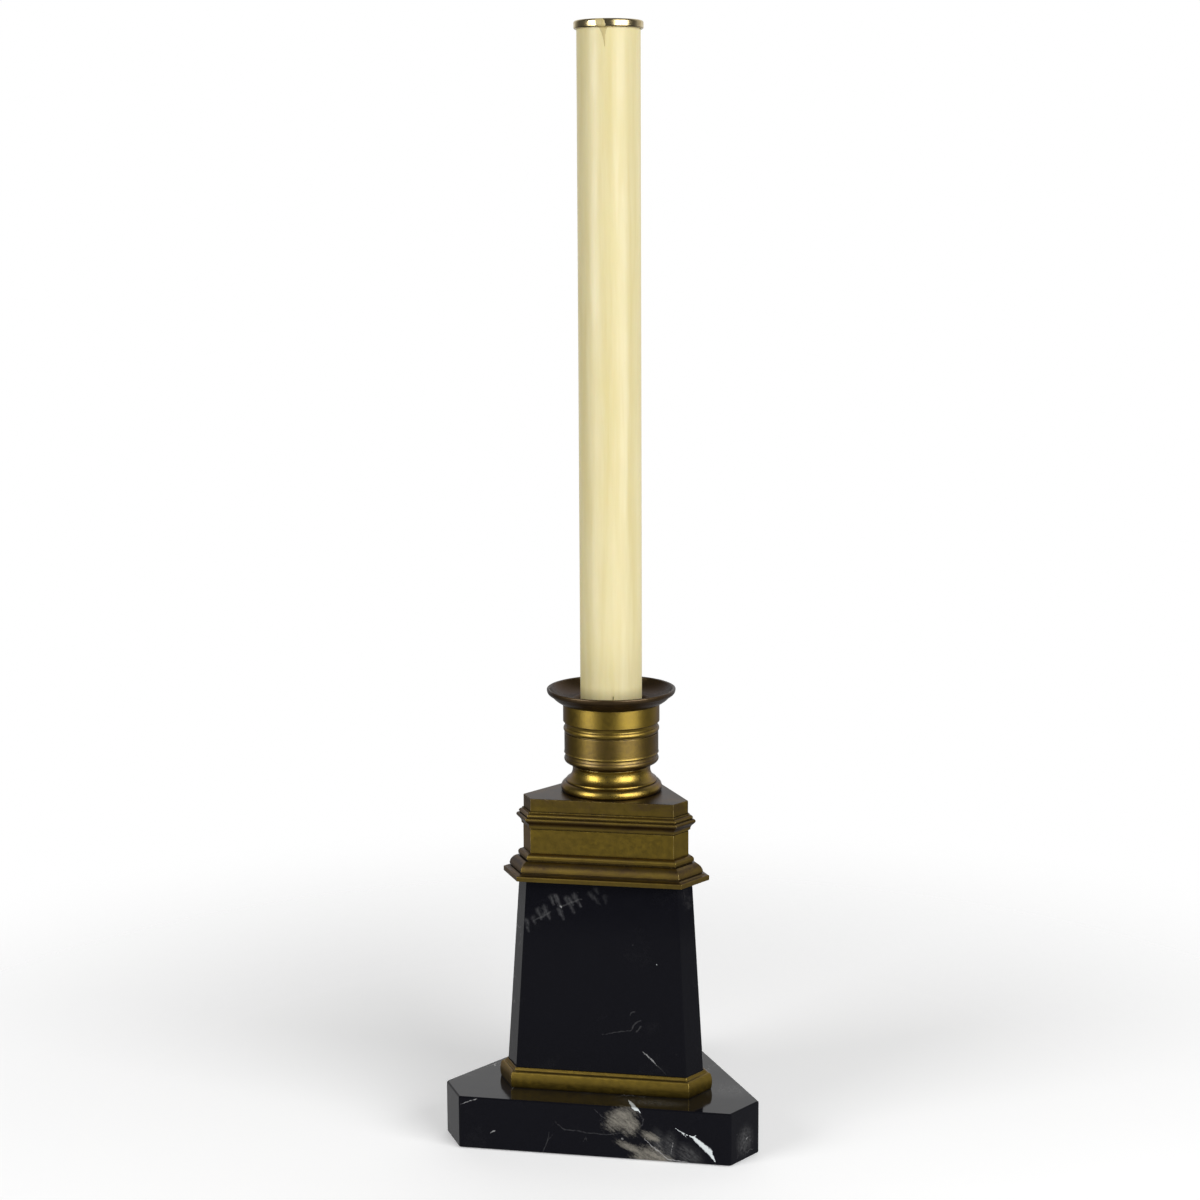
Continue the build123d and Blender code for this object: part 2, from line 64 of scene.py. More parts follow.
# ---- Light ----
# Softboxes: azimuth from the camera, elevation, distance, width, height and power
KEY_LIGHT = (43.0, 14.0, 1.5, 1.25, 1.3, 25.0)
FILL_LIGHT = (-55.0, 12.0, 1.6, 0.8, 1.3, 17.5)
LIGHT_AIM_HEIGHT = 0.3
FLOOR_GLOW = 0.26
FLOOR_HIDDEN_IN_MIRRORS = 0.85
FLOOR_FADE_START, FLOOR_FADE_END = 0.16, 0.62


def direction(azimuth, elevation=0.0):
    """Unit vector from the object towards a place seen from the front, in degrees."""
    a, e = math.radians(azimuth), math.radians(elevation)
    return Vector((math.sin(a) * math.cos(e), -math.cos(a) * math.cos(e), math.sin(e)))


def make_camera():
    """The camera stands in front and to the right, a little below the candle's top."""
    data = bpy.data.cameras.new("camera")
    data.lens = CAMERA_LENS
    data.sensor_width = 36.0
    data.clip_start, data.clip_end = 0.01, 50.0
    camera = bpy.data.objects.new("camera", data)
    bpy.context.scene.collection.objects.link(camera)
    place = direction(CAMERA_AZIMUTH) * CAMERA_DISTANCE + Vector((0, 0, CAMERA_HEIGHT))
    forward = -direction(CAMERA_AZIMUTH + CAMERA_YAW, CAMERA_PITCH)
    turn = forward.to_track_quat("-Z", "Y").to_matrix().to_4x4()
    roll = Matrix.Rotation(math.radians(CAMERA_ROLL), 4, "Z")
    camera.matrix_world = Matrix.Translation(place) @ turn @ roll
    bpy.context.scene.camera = camera


class Shader:
    """Adds nodes to one material or world and links them."""

    def __init__(self, owner):
        owner.use_nodes = True
        self.owner = owner
        self.tree = owner.node_tree
        self.tree.nodes.clear()

    def put(self, socket, value):
        """Link or set a socket; a colour may be given as three numbers."""
        if isinstance(value, bpy.types.NodeSocket):
            self.tree.links.new(value, socket)
        elif socket.type == "RGBA" and value is not None:
            socket.default_value = (*value[:3], 1.0)
        elif value is not None:
            socket.default_value = value

    def node(self, kind, inputs=(), **settings):
        made = self.tree.nodes.new(kind)
        for key, value in settings.items():
            setattr(made, key, value)
        for key, value in dict(inputs).items():
            self.put(made.inputs[key], value)
        return made

    def math(self, operation, a, b=None, c=None, clamp=False):
        made = self.node("ShaderNodeMath", {0: a, 1: b, 2: c}, operation=operation, use_clamp=clamp)
        return made.outputs[0]

    def vector(self, operation, a, b=None, scale=None):
        made = self.node("ShaderNodeVectorMath", {0: a, 1: b}, operation=operation)
        if scale is not None:
            self.put(made.inputs["Scale"], scale)
        return made.outputs["Value" if operation in ("LENGTH", "DISTANCE", "DOT_PRODUCT") else 0]

    def ramp(self, value, low, high, to_low=0.0, to_high=1.0):
        """Smooth step from to_low at low to to_high at high."""
        inputs = {0: value, 1: low, 2: high, 3: to_low, 4: to_high}
        return self.node("ShaderNodeMapRange", inputs, interpolation_type="SMOOTHSTEP").outputs[0]

    def noise(self, coordinate, scale, detail=3.0, roughness=0.5, distortion=0.0, stretch=None, turn=None):
        """Noise between 0 and 1. Scale is per millimetre; it is turned first, then stretched."""
        if turn:
            inputs = {"Vector": coordinate, "Rotation": turn}
            coordinate = self.node("ShaderNodeMapping", inputs).outputs[0]
        if stretch:
            coordinate = self.vector("MULTIPLY", coordinate, stretch)
        inputs = {
            "Vector": coordinate,
            "Scale": scale,
            "Detail": detail,
            "Roughness": roughness,
            "Distortion": distortion,
        }
        return self.node("ShaderNodeTexNoise", inputs).outputs["Fac"]

    def mix(self, factor, a, b, blend="MIX"):
        """Colour between a and b."""
        made = self.node("ShaderNodeMix", data_type="RGBA", blend_type=blend)
        for index, value in ((0, factor), (6, a), (7, b)):
            self.put(made.inputs[index], value)
        return made.outputs[2]

    def millimetres(self):
        """The surface point in the row frame, in millimetres."""
        place = self.node("ShaderNodeTexCoord").outputs["Object"]
        return self.vector("SCALE", place, scale=1.0 / MM)

    def bump(self, height, strength, distance_mm, normal=None):
        inputs = {"Height": height, "Strength": strength, "Distance": distance_mm * MM, "Normal": normal}
        return self.node("ShaderNodeBump", inputs).outputs[0]

    def surface(self, **sockets):
        """The principled surface, with its sockets named as in Blender but with underscores."""
        made = self.node("ShaderNodeBsdfPrincipled")
        for key, value in sockets.items():
            self.put(made.inputs[key.replace("_", " ")], value)
        output = self.node("ShaderNodeOutputMaterial")
        self.tree.links.new(made.outputs[0], output.inputs["Surface"])
        return made


def new_material(name):
    return Shader(bpy.data.materials.new(name))


# ---- Stage ----
def make_floor():
    """A pale round floor that fades out into the white surroundings."""
    mesh = bpy.data.meshes.new("floor")
    shape = bmesh.new()
    bmesh.ops.create_circle(shape, cap_ends=True, segments=96, radius=FLOOR_FADE_END + 0.1)
    shape.to_mesh(mesh)
    shape.free()
    floor = bpy.data.objects.new("floor", mesh)
    bpy.context.scene.collection.objects.link(floor)
    s = new_material("floor_paper")
    place = s.node("ShaderNodeTexCoord").outputs["Object"]
    away = s.vector("LENGTH", place)
    fade = s.ramp(away, FLOOR_FADE_START, FLOOR_FADE_END)
    is_glossy = s.node("ShaderNodeLightPath").outputs["Is Glossy Ray"]
    hidden = s.math("MAXIMUM", fade, s.math("MULTIPLY", is_glossy, FLOOR_HIDDEN_IN_MIRRORS))
    paper = s.node("ShaderNodeBsdfDiffuse", {"Color": (0.93, 0.93, 0.93, 1)}).outputs[0]
    glow = s.node("ShaderNodeEmission", {"Color": (1, 1, 1, 1), "Strength": FLOOR_GLOW}).outputs[0]
    lit = s.node("ShaderNodeAddShader", {0: paper, 1: glow}).outputs[0]
    clear = s.node("ShaderNodeBsdfTransparent").outputs[0]
    mixed = s.node("ShaderNodeMixShader", {0: hidden, 1: lit, 2: clear}).outputs[0]
    s.node("ShaderNodeOutputMaterial", {"Surface": mixed})
    mesh.materials.append(s.owner)


def make_surroundings():
    """White behind and beside the object, dimmer on the camera's side, as in a studio."""
    world = bpy.data.worlds.new("studio")
    bpy.context.scene.world = world
    s = Shader(world)
    towards = s.node("ShaderNodeTexCoord").outputs["Generated"]
    parts = s.node("ShaderNodeSeparateXYZ", {0: towards}).outputs
    behind = s.ramp(parts["Y"], 0.22, 0.95, 0.09, 0.95)
    above = s.ramp(parts["Z"], -0.16, -0.04, 0.5, 1.0)
    seen_in_mirror = s.math("MULTIPLY", behind, above)
    is_camera = s.node("ShaderNodeLightPath").outputs["Is Camera Ray"]
    strength = s.math("MAXIMUM", seen_in_mirror, is_camera)
    light = s.node("ShaderNodeBackground", {"Color": (1, 1, 1, 1), "Strength": strength}).outputs[0]
    s.node("ShaderNodeOutputWorld", {"Surface": light})


def make_softbox(name, azimuth, elevation, distance, width, height, power):
    """A tall soft light that faces the middle of the object."""
    data = bpy.data.lights.new(name, "AREA")
    data.shape = "RECTANGLE"
    data.size, data.size_y = width, height
    data.energy = power
    light = bpy.data.objects.new(name, data)
    bpy.context.scene.collection.objects.link(light)
    aim = direction(CAMERA_AZIMUTH + azimuth, elevation)
    light.location = aim * distance + Vector((0, 0, LIGHT_AIM_HEIGHT))
    light.rotation_mode = "QUATERNION"
    light.rotation_quaternion = (-aim).to_track_quat("-Z", "Y")


# ---- Marble ----
def segment_group():
    """Node group: distance from a point to a tapering segment, over the half width there."""
    tree = bpy.data.node_groups.new("vein_segment", "ShaderNodeTree")
    for label, kind in (
        ("Point", "NodeSocketVector"),
        ("Start", "NodeSocketVector"),
        ("End", "NodeSocketVector"),
        ("Start Width", "NodeSocketFloat"),
        ("End Width", "NodeSocketFloat"),
    ):
        tree.interface.new_socket(label, in_out="INPUT", socket_type=kind)
    tree.interface.new_socket("Distance", in_out="OUTPUT", socket_type="NodeSocketFloat")
    s = Shader.__new__(Shader)
    s.tree = tree
    given = s.node("NodeGroupInput").outputs
    along = s.vector("SUBTRACT", given["End"], given["Start"])
    out = s.vector("SUBTRACT", given["Point"], given["Start"])
    reach = s.vector("DOT_PRODUCT", along, along)
    share = s.math("DIVIDE", s.vector("DOT_PRODUCT", out, along), reach, clamp=True)
    away = s.vector("DISTANCE", out, s.vector("SCALE", along, scale=share))
    change = s.math("SUBTRACT", given["End Width"], given["Start Width"])
    width = s.math("MULTIPLY_ADD", share, change, given["Start Width"])
    s.node("NodeGroupOutput", {"Distance": s.math("DIVIDE", away, width)})
    return tree


VEIN_SEGMENT = segment_group()


def vein(s, point, stops, soft=0.6):
    """Mask of one vein through stops of (x, y, z, half width), in millimetres."""
    nearest = None
    for start, end in zip(stops, stops[1:]):
        inputs = {
            "Point": point,
            "Start": start[:3],
            "End": end[:3],
            "Start Width": start[3],
            "End Width": end[3],
        }
        group = s.node("ShaderNodeGroup", node_tree=VEIN_SEGMENT)
        for key, value in inputs.items():
            s.put(group.inputs[key], value)
        away = group.outputs[0]
        nearest = away if nearest is None else s.math("MINIMUM", nearest, away)
    return s.ramp(nearest, 1.0 - soft, 1.0 + soft, 1.0, 0.0)


def patch(s, point, centre, radii, tilt=0.0, soft=0.45):
    """Mask of a cloudy patch: an ellipsoid, tilted about the Y axis by degrees."""
    inputs = {"Vector": s.vector("SUBTRACT", point, centre), "Rotation": (0, math.radians(tilt), 0)}
    turned = s.node("ShaderNodeMapping", inputs).outputs[0]
    away = s.vector("LENGTH", s.vector("DIVIDE", turned, radii))
    return s.ramp(away, 1.0 - soft, 1.0 + soft, 1.0, 0.0)


def strongest(s, masks):
    """The largest of several masks."""
    total = masks[0]
    for mask in masks[1:]:
        total = s.math("MAXIMUM", total, mask)
    return total


SLAB_FRONT = -54.68
SLAB_TOP = 28.2


def front(x, z, half_width):
    """A vein's stop on the slab's front face."""
    return (x, SLAB_FRONT, z, half_width)


def pedestal_front(z):
    """Where the pedestal's sloping front face is at a height."""
    return -30.6 + 0.0427 * (z - 125.1)


SLAB_WHITE_VEINS = [
    [
        front(42.3, 18.8, 0.12),
        front(45.8, 16.6, 0.2),
        front(50.2, 15.2, 0.25),
        front(52.2, 14.1, 0.65),
        front(54.2, 12.4, 1.0),
        front(57.3, 9.8, 1.25),
        front(59.8, 7.6, 1.4),
        front(61.0, 5.6, 0.7),
        front(62.9, 2.4, 0.2),
    ],
    [front(45.8, 16.6, 0.2), front(48.6, 13.9, 0.1)],
    [front(51.6, 14.6, 0.3), front(53.4, 16.0, 0.1)],
    [
        front(24.6, 25.6, 0.1),
        front(23.6, 26.8, 0.4),
        front(21.6, SLAB_TOP, 1.1),
        (19.2, -50.0, SLAB_TOP, 1.0),
        (16.6, -44.6, SLAB_TOP, 0.3),
    ],
]
SLAB_FINE_VEINS = [
    [
        front(26.4, 12.2, 0.12),
        front(30.4, 8.4, 0.22),
        front(34.4, 5.4, 0.22),
        front(38.4, 1.9, 0.25),
        front(45.8, 1.3, 0.3),
        front(50.0, 0.9, 0.1),
    ],
    [front(39.8, 14.6, 0.1), front(41.1, 10.7, 0.16), front(40.3, 5.4, 0.1)],
    [front(14.8, 11.4, 0.35), front(15.3, 11.2, 0.35)],
    [front(-54.1, 9.5, 0.2), front(-52.2, 10.7, 0.35)],
    [front(-69.8, 24.0, 0.12), front(-62.3, 27.2, 0.22), front(-60.0, SLAB_TOP, 0.12)],
    [(77.8, -42.6, 11.3, 0.4), (77.5, -43.1, 11.0, 0.4)],
]
SLAB_HAIR_VEINS = [
    [
        front(-20.2, 18.0, 0.12),
        front(-15.2, 14.0, 0.22),
        front(-9.6, 14.1, 0.2),
        front(-2.9, 13.2, 0.2),
        front(7.1, 12.9, 0.2),
        front(19.4, 15.5, 0.2),
    ],
    [front(-23.1, 12.1, 0.1), front(-24.2, 7.4, 0.2), front(-26.6, 0.9, 0.15)],
    [front(-5.2, 8.2, 0.12), front(-4.3, 10.6, 0.2), front(-3.2, 8.4, 0.12)],
    [front(-21.5, 10.5, 0.12), front(-24.5, 6.9, 0.12)],
    [front(23.4, 25.2, 0.15), front(25.9, 22.8, 0.3), front(25.4, 19.7, 0.3), front(23.4, 17.5, 0.12)],
    [front(0.5, 26.2, 0.1), front(4.6, 22.4, 0.2), front(9.0, 19.6, 0.2)],
    [front(2.5, 21.4, 0.1), front(7.0, 17.0, 0.2), front(10.5, 15.6, 0.1)],
    [(72.6, -52.0, 16.6, 0.12), (77.6, -43.4, 11.2, 0.25), (80.6, -38.0, 7.6, 0.12)],
    [(79.6, -40.0, 13.0, 0.12), (75.6, -46.6, 8.4, 0.2), (73.2, -50.8, 1.4, 0.15)],
]
# Smoky patches: centre, radii and tilt about the Y axis, in degrees
SLAB_CLOUDS = [
    ((18.6, SLAB_FRONT, 19.4), (5.6, 7.0, 6.4), 20.0),
    ((14.0, SLAB_FRONT, 22.4), (9.6, 5.0, 6.0), 34.0),
    ((28.0, SLAB_FRONT, 3.2), (8.6, 6.0, 5.6), 8.0),
    ((33.0, SLAB_FRONT, 1.6), (8.0, 6.0, 3.4), 0.0),
    ((19.0, SLAB_FRONT, 7.0), (8.5, 4.0, 2.2), -22.0),
    ((29.5, SLAB_FRONT, 13.6), (5.5, 4.0, 2.4), -24.0),
]
SLAB_SMOKE = [
    ((33.6, SLAB_FRONT, 9.0), (3.2, 3.0, 6.4), 8.0),
    ((39.0, SLAB_FRONT, 7.4), (3.4, 3.0, 6.6), -6.0),
    ((49.0, SLAB_FRONT, 5.0), (6.0, 3.0, 4.0), -30.0),
    ((29.0, -46.0, SLAB_TOP), (13.0, 3.6, 3.0), 0.0),
    ((66.0, -20.0, SLAB_TOP), (13.0, 10.0, 3.0), 0.0),
    ((76.8, -44.4, 10.6), (5.0, 5.0, 6.0), 0.0),
]
PEDESTAL_WHITE_VEINS = [[(29.0, -31.7, 97.3, 0.22), (29.2, -31.7, 97.1, 0.22)]]
PEDESTAL_FINE_VEINS = [
    [
        (21.8, -33.7, 50.9, 0.12),
        (24.8, -33.8, 48.4, 0.3),
        (27.4, -33.9, 45.9, 0.32),
        (29.4, -34.0, 43.9, 0.12),
    ],
    [(-21.5, -30.6, 125.3, 0.3), (-21.0, -30.6, 124.9, 0.3)],
]
PEDESTAL_HAIR_VEINS = [
    [
        (16.1, -33.2, 61.5, 0.15),
        (16.9, -33.2, 63.8, 0.35),
        (18.1, -33.1, 65.6, 0.3),
        (20.8, -33.0, 67.1, 0.3),
    ],
    [(20.9, -33.1, 63.9, 0.5), (20.3, -33.2, 62.4, 0.3), (18.6, -33.3, 61.1, 0.3)],
    [(15.2, -32.9, 69.4, 0.15), (15.8, -32.9, 71.0, 0.25), (18.1, -32.8, 71.7, 0.25)],
    [(0.7, -33.4, 58.5, 0.1), (9.4, -33.3, 60.4, 0.2), (16.1, -33.2, 61.5, 0.2)],
    [(29.4, -34.0, 43.9, 0.2), (34.2, -34.2, 39.4, 0.1)],
    [(-21.2, -30.6, 125.1, 0.35), (-14.5, -30.5, 128.0, 0.4), (-10.2, -30.4, 129.7, 0.25)],
    [(-36.0, -31.0, 116.8, 0.2), (-30.0, -30.8, 119.8, 0.4), (-26.5, -30.7, 122.0, 0.3)],
]
# Short steep strokes across the pedestal's head: x and z of their ends, and strength
PEDESTAL_STROKES = [
    (-39.4, 116.6, -38.2, 111.0, 0.55),
    (-35.9, 118.2, -34.8, 115.5, 0.3),
    (-33.2, 122.6, -31.4, 118.2, 0.5),
    (-29.9, 124.2, -27.0, 118.4, 0.6),
    (-30.4, 120.6, -28.4, 122.6, 0.5),
    (-26.2, 130.0, -25.0, 126.0, 0.5),
    (-24.0, 130.3, -21.2, 124.6, 0.8),
    (-22.0, 123.6, -19.8, 118.6, 0.5),
    (-18.2, 129.5, -14.2, 122.2, 0.5),
    (-16.6, 129.4, -14.6, 126.4, 0.6),
    (-14.3, 131.3, -10.8, 125.6, 0.55),
    (-6.2, 132.8, -4.4, 130.6, 0.3),
    (-3.6, 130.6, -0.6, 127.4, 0.3),
    (-2.9, 135.0, -1.7, 132.9, 0.25),
    (1.9, 131.3, 2.5, 128.1, 0.2),
]


MARBLE_BLACKS = (0.0028, 0.0029, 0.0045), (0.006, 0.006, 0.0085)
MARBLE_HAZE = (0.17, 0.165, 0.16)
MARBLE_SMOKE = (0.13, 0.13, 0.13)
MARBLE_CLOUD = (0.2, 0.186, 0.158)
MARBLE_STROKE = (0.13, 0.13, 0.135)
MARBLE_HAIR = (0.3, 0.3, 0.3)
MARBLE_FINE = (0.5, 0.5, 0.5)
MARBLE_NET = (0.5, 0.5, 0.49)
MARBLE_WHITES = (0.42, 0.45, 0.46), (0.7, 0.74, 0.74)


def level_line(s, value, half_width):
    """Thin lines where a noise crosses its middle."""
    return s.ramp(s.math("ABSOLUTE", s.math("SUBTRACT", value, 0.5)), 0.0, half_width, 1.0, 0.0)


def net_veins(s, point, off_front):
    """A broken net of fine pale veins."""
    value = s.noise(point, 0.021, 5.0, 0.6, 0.4, stretch=(1.0, 1.0, 1.7), turn=(0.5, 0.3, 0.7))
    gaps = s.ramp(s.noise(point, 0.035, 3.0, 0.6), 0.53, 0.66)
    return s.math("MULTIPLY", s.math("MULTIPLY", level_line(s, value, 0.0065), gaps), off_front)


def cracks(s, point, off_front):
    """Very faint hairlines."""
    value = s.noise(point, 0.06, 4.0, 0.6, 0.3, turn=(0.9, 0.1, 0.4))
    gaps = s.ramp(s.noise(point, 0.05, 2.0), 0.5, 0.62, 0.0, 0.1)
    return s.math("MULTIPLY", s.math("MULTIPLY", level_line(s, value, 0.004), gaps), off_front)


def haze(s, point, broken, y, quiet_front):
    """Grey drifts, nearly gone on the main face."""
    value = s.noise(point, 0.03, 7.0, 0.66, 0.5, stretch=(1.0, 1.0, 1.5), turn=(0.2, 0.6, 0.1))
    drifts = s.math("MULTIPLY", s.ramp(value, 0.56, 0.8), broken)
    return s.math("MULTIPLY", drifts, s.ramp(y, *quiet_front, 0.05, 0.5))


def specks(s, point):
    """A few small pale dots."""
    cells = s.node("ShaderNodeTexVoronoi", {"Vector": point, "Scale": 0.12})
    size = s.node("ShaderNodeSeparateColor", {0: cells.outputs["Color"]}).outputs[0]
    dot = s.math("LESS_THAN", cells.outputs["Distance"], s.math("MULTIPLY", size, 0.02))
    return s.math("MULTIPLY", dot, 0.2)


def stroke_mask(s, point, strokes, broken):
    """Short feathery strokes on the pedestal's front, as (x, z, x, z, strength)."""
    masks = []
    for x0, z0, x1, z1, strength in strokes:
        stops = [(x0, pedestal_front(z0), z0, 1.1), (x1, pedestal_front(z1), z1, 0.5)]
        masks.append(s.math("MULTIPLY", vein(s, point, stops, 1.0), 0.8 * strength))
    return s.math("MULTIPLY", strongest(s, masks), broken)


def make_marble(name, quiet_front, streak_turn, white, fine, hair, clouds=(), smoke=(), strokes=()):
    """Polished black marble, with its main veins where the stone has them.

    Veins that are laid by noise alone stay behind the quiet front, two Y values in millimetres.
    """
    s = new_material(name)
    point = s.millimetres()
    y = s.node("ShaderNodeSeparateXYZ", {0: point}).outputs["Y"]
    waver = s.node("ShaderNodeTexNoise", {"Vector": point, "Scale": 0.55, "Detail": 4.0}).outputs["Color"]
    ragged = s.vector("ADD", point, s.vector("SCALE", s.vector("SUBTRACT", waver, (0.5,) * 3), scale=1.6))
    streaks = s.noise(point, 0.6, 7.0, 0.66, 0.4, stretch=(0.3, 1.0, 1.6), turn=(0, streak_turn, 0))
    grain = s.noise(point, 0.9, 6.0, 0.7, 0.8)
    broken = s.ramp(s.math("MULTIPLY_ADD", streaks, 0.6, s.math("MULTIPLY", grain, 0.4)), 0.32, 0.68)
    off_front = s.ramp(y, *quiet_front)

    white_mask = strongest(s, [vein(s, ragged, stops, 0.3) for stops in white])
    fine_mask = strongest(s, [vein(s, ragged, stops, 0.8) for stops in fine])
    hair_mask = strongest(s, [vein(s, ragged, stops, 0.9) for stops in hair])
    faint = s.math("MAXIMUM", haze(s, point, broken, y, quiet_front), cracks(s, point, off_front))
    crisp = s.math("MAXIMUM", net_veins(s, point, off_front), specks(s, point))

    colour = s.mix(grain, *MARBLE_BLACKS)
    colour = s.mix(faint, colour, MARBLE_HAZE)
    if smoke:
        dense = strongest(s, [patch(s, ragged, *cloud, 0.8) for cloud in smoke])
        dense = s.math("MULTIPLY", dense, broken)
        colour = s.mix(s.math("MULTIPLY", dense, 0.45), colour, MARBLE_SMOKE)
    if clouds:
        dense = strongest(s, [patch(s, ragged, *cloud, 0.75) for cloud in clouds])
        dense = s.ramp(s.math("MULTIPLY_ADD", dense, 1.5, broken), 0.95, 2.6)
        colour = s.mix(s.math("MULTIPLY", dense, 0.9), colour, MARBLE_CLOUD)
    if strokes:
        colour = s.mix(stroke_mask(s, ragged, strokes, broken), colour, MARBLE_STROKE)
    colour = s.mix(s.math("MULTIPLY", hair_mask, 0.1), colour, MARBLE_HAIR)
    colour = s.mix(s.math("MULTIPLY", fine_mask, 0.45), colour, MARBLE_FINE)
    colour = s.mix(crisp, colour, MARBLE_NET)
    colour = s.mix(white_mask, colour, s.mix(grain, *MARBLE_WHITES))
    polish = s.ramp(s.noise(point, 0.07, 4.0, 0.6), 0.3, 0.75, 0.05, 0.16)
    polish = s.math("MULTIPLY_ADD", white_mask, 0.1, polish)
    ripple = s.noise(point, 0.12, 2.0)
    scratches = s.noise(point, 1.4, 3.0, 0.6, stretch=(1.0, 1.0, 0.3), turn=(0.3, 0.9, 0.4))
    height = s.math("MULTIPLY_ADD", scratches, 0.12, ripple)
    s.surface(
        Base_Color=colour,
        Roughness=polish,
        IOR=1.3,
        Normal=s.bump(height, 0.06, 0.5),
    )
    return s.owner


# ---- Metals ----
BRASS_GOLDEN = (0.38, 0.255, 0.028)
BRASS_BROWN = (0.105, 0.064, 0.024)
BRASS_SPECKLE = (0.09, 0.06, 0.03)
BRASS_CREVICE_GRIME_AND_SHADE = (0.035, 0.018, 0.008)
BRASS_RUBBED_AND_HIGHLIGHT = (0.6, 0.47, 0.2)
# Material, its nodes, whether turned on a lathe, patina, browner bands (from, to, amount), shine
BRASS_PIECES = [
    ("collar_brass", ["base_collar"], False, 0.3, [(28.0, 37.0, -0.1)], 0.0),
    ("cornice_brass", ["cornice_moulding"], False, 0.6, [(142.8, 147.5, 0.25)], 0.0),
    ("frieze_brass", ["frieze_band"], False, 0.55, [(150.0, 166.0, -0.35)], 0.0),
    ("bead_brass", ["bead_moulding"], False, 0.6, [(166.8, 170.6, 0.4)], 0.0),
    ("block_brass", ["capital_block"], False, 0.7, [(177.0, 182.0, 0.15)], 0.0),
    ("foot_brass", ["cup_foot"], True, 0.3, [(187.0, 194.6, -0.2)], 0.06),
    (
        "cup_brass",
        ["candle_cup", "candle_holder"],
        True,
        0.4,
        [(194.0, 200.6, 0.45), (201.8, 212.2, 0.35), (216.0, 229.0, -0.05)],
        0.0,
    ),
    ("pan_brass", ["drip_pan"], True, 0.5, [(220.0, 240.0, 1.0)], 0.0),
]

def height_bands(s, z, bands):
    """Sum of soft bands up the object, each (lowest, highest, amount), in millimetres."""
    total = None
    for low, high, amount in bands:
        rise = s.ramp(z, low - 0.4, low + 0.4, 0.0, amount)
        fall = s.ramp(z, high - 0.4, high + 0.4, 1.0, 0.0)
        band = s.math("MULTIPLY", rise, fall)
        total = band if total is None else s.math("ADD", total, band)
    return total


def make_brass(name, turned, patina, bands, shine):
    """Antique brass: golden where it is rubbed, brown where it has darkened, browner on faces that look up
    or down as painted shade, pale on convex edges as rubbed wear with a painted edge highlight, and black
    in its corners as dark residue with painted shade.

    The bands make it browner (or, where negative, brighter) at some heights.
    """
    s = new_material(name)
    point = s.millimetres()
    z = s.node("ShaderNodeSeparateXYZ", {0: point}).outputs["Z"]
    blotch = s.noise(point, 0.055, 5.0, 0.62, 0.4, stretch=(1.0, 1.0, 1.6))
    mottle = s.noise(point, 0.4, 6.0, 0.7)
    speckle = s.noise(point, 2.2, 3.0, 0.6)
    open_air = s.node("ShaderNodeAmbientOcclusion", {"Distance": 1.8 * MM}, samples=6).outputs["AO"]
    # Dark residue and painted shade: tight hollows found by ambient occlusion are made near black.
    crevice_grime_and_shade = s.ramp(open_air, 0.35, 0.85, 1.0, 0.0)
    soft_normal = s.node("ShaderNodeBevel", {"Radius": 0.3 * MM}, samples=6).outputs[0]
    sharp_normal = s.node("ShaderNodeNewGeometry").outputs["Normal"]
    corner = s.ramp(s.vector("DOT_PRODUCT", soft_normal, sharp_normal), 0.88, 0.985, 1.0, 0.0)
    # Rubbed wear and painted edge highlight: convex edges in the open are made pale brass.
    rubbed_wear_and_highlight = s.math("MULTIPLY", corner, s.ramp(open_air, 0.6, 0.9))
    rubbed_wear_and_highlight = s.math("MULTIPLY", rubbed_wear_and_highlight, s.ramp(mottle, 0.4, 0.6, 0.25, 1.0))
    # Painted shade: faces that look up or down are made browner than upright faces.
    upward = s.node("ShaderNodeSeparateXYZ", {0: sharp_normal}).outputs["Z"]
    level_face_painted_shade = s.ramp(s.math("ABSOLUTE", upward), 0.25, 0.8, 0.0, 0.35)

    dark = s.math("MULTIPLY_ADD", s.ramp(blotch, 0.3, 0.7), 0.7, s.ramp(mottle, 0.35, 0.7, 0.0, 0.5))
    dark = s.math("MULTIPLY", dark, patina)
    dark = s.math("ADD", dark, level_face_painted_shade)
    if bands:
        dark = s.math("ADD", dark, height_bands(s, z, bands))
    dark = s.math("ADD", dark, 0.0, clamp=True)
    colour = s.mix(dark, BRASS_GOLDEN, BRASS_BROWN)
    colour = s.mix(s.ramp(speckle, 0.62, 0.78, 0.0, 0.35), colour, BRASS_SPECKLE)
    colour = s.mix(s.math("MULTIPLY", crevice_grime_and_shade, 0.85), colour, BRASS_CREVICE_GRIME_AND_SHADE)
    colour = s.mix(rubbed_wear_and_highlight, colour, BRASS_RUBBED_AND_HIGHLIGHT)
    roughness = s.ramp(mottle, 0.3, 0.75, 0.30 - shine, 0.42 - shine)
    roughness = s.math("MULTIPLY_ADD", dark, 0.08, roughness)
    grain_stretch = (0.02, 0.02, 5.0) if turned else (0.05, 0.05, 2.2)
    grain = s.noise(point, 1.6, 3.0, 0.6, stretch=grain_stretch)
    height = s.math("MULTIPLY_ADD", mottle, 0.5, grain)
    s.surface(
        Base_Color=colour,
        Metallic=1.0,
        Roughness=roughness,
        Specular_Tint=(0.1, 0.1, 0.12),
        Coat_Weight=0.6,
        Coat_Roughness=0.32,
        Coat_IOR=1.5,
        Normal=s.bump(height, 0.22, 0.12, soft_normal),
    )
    return s.owner


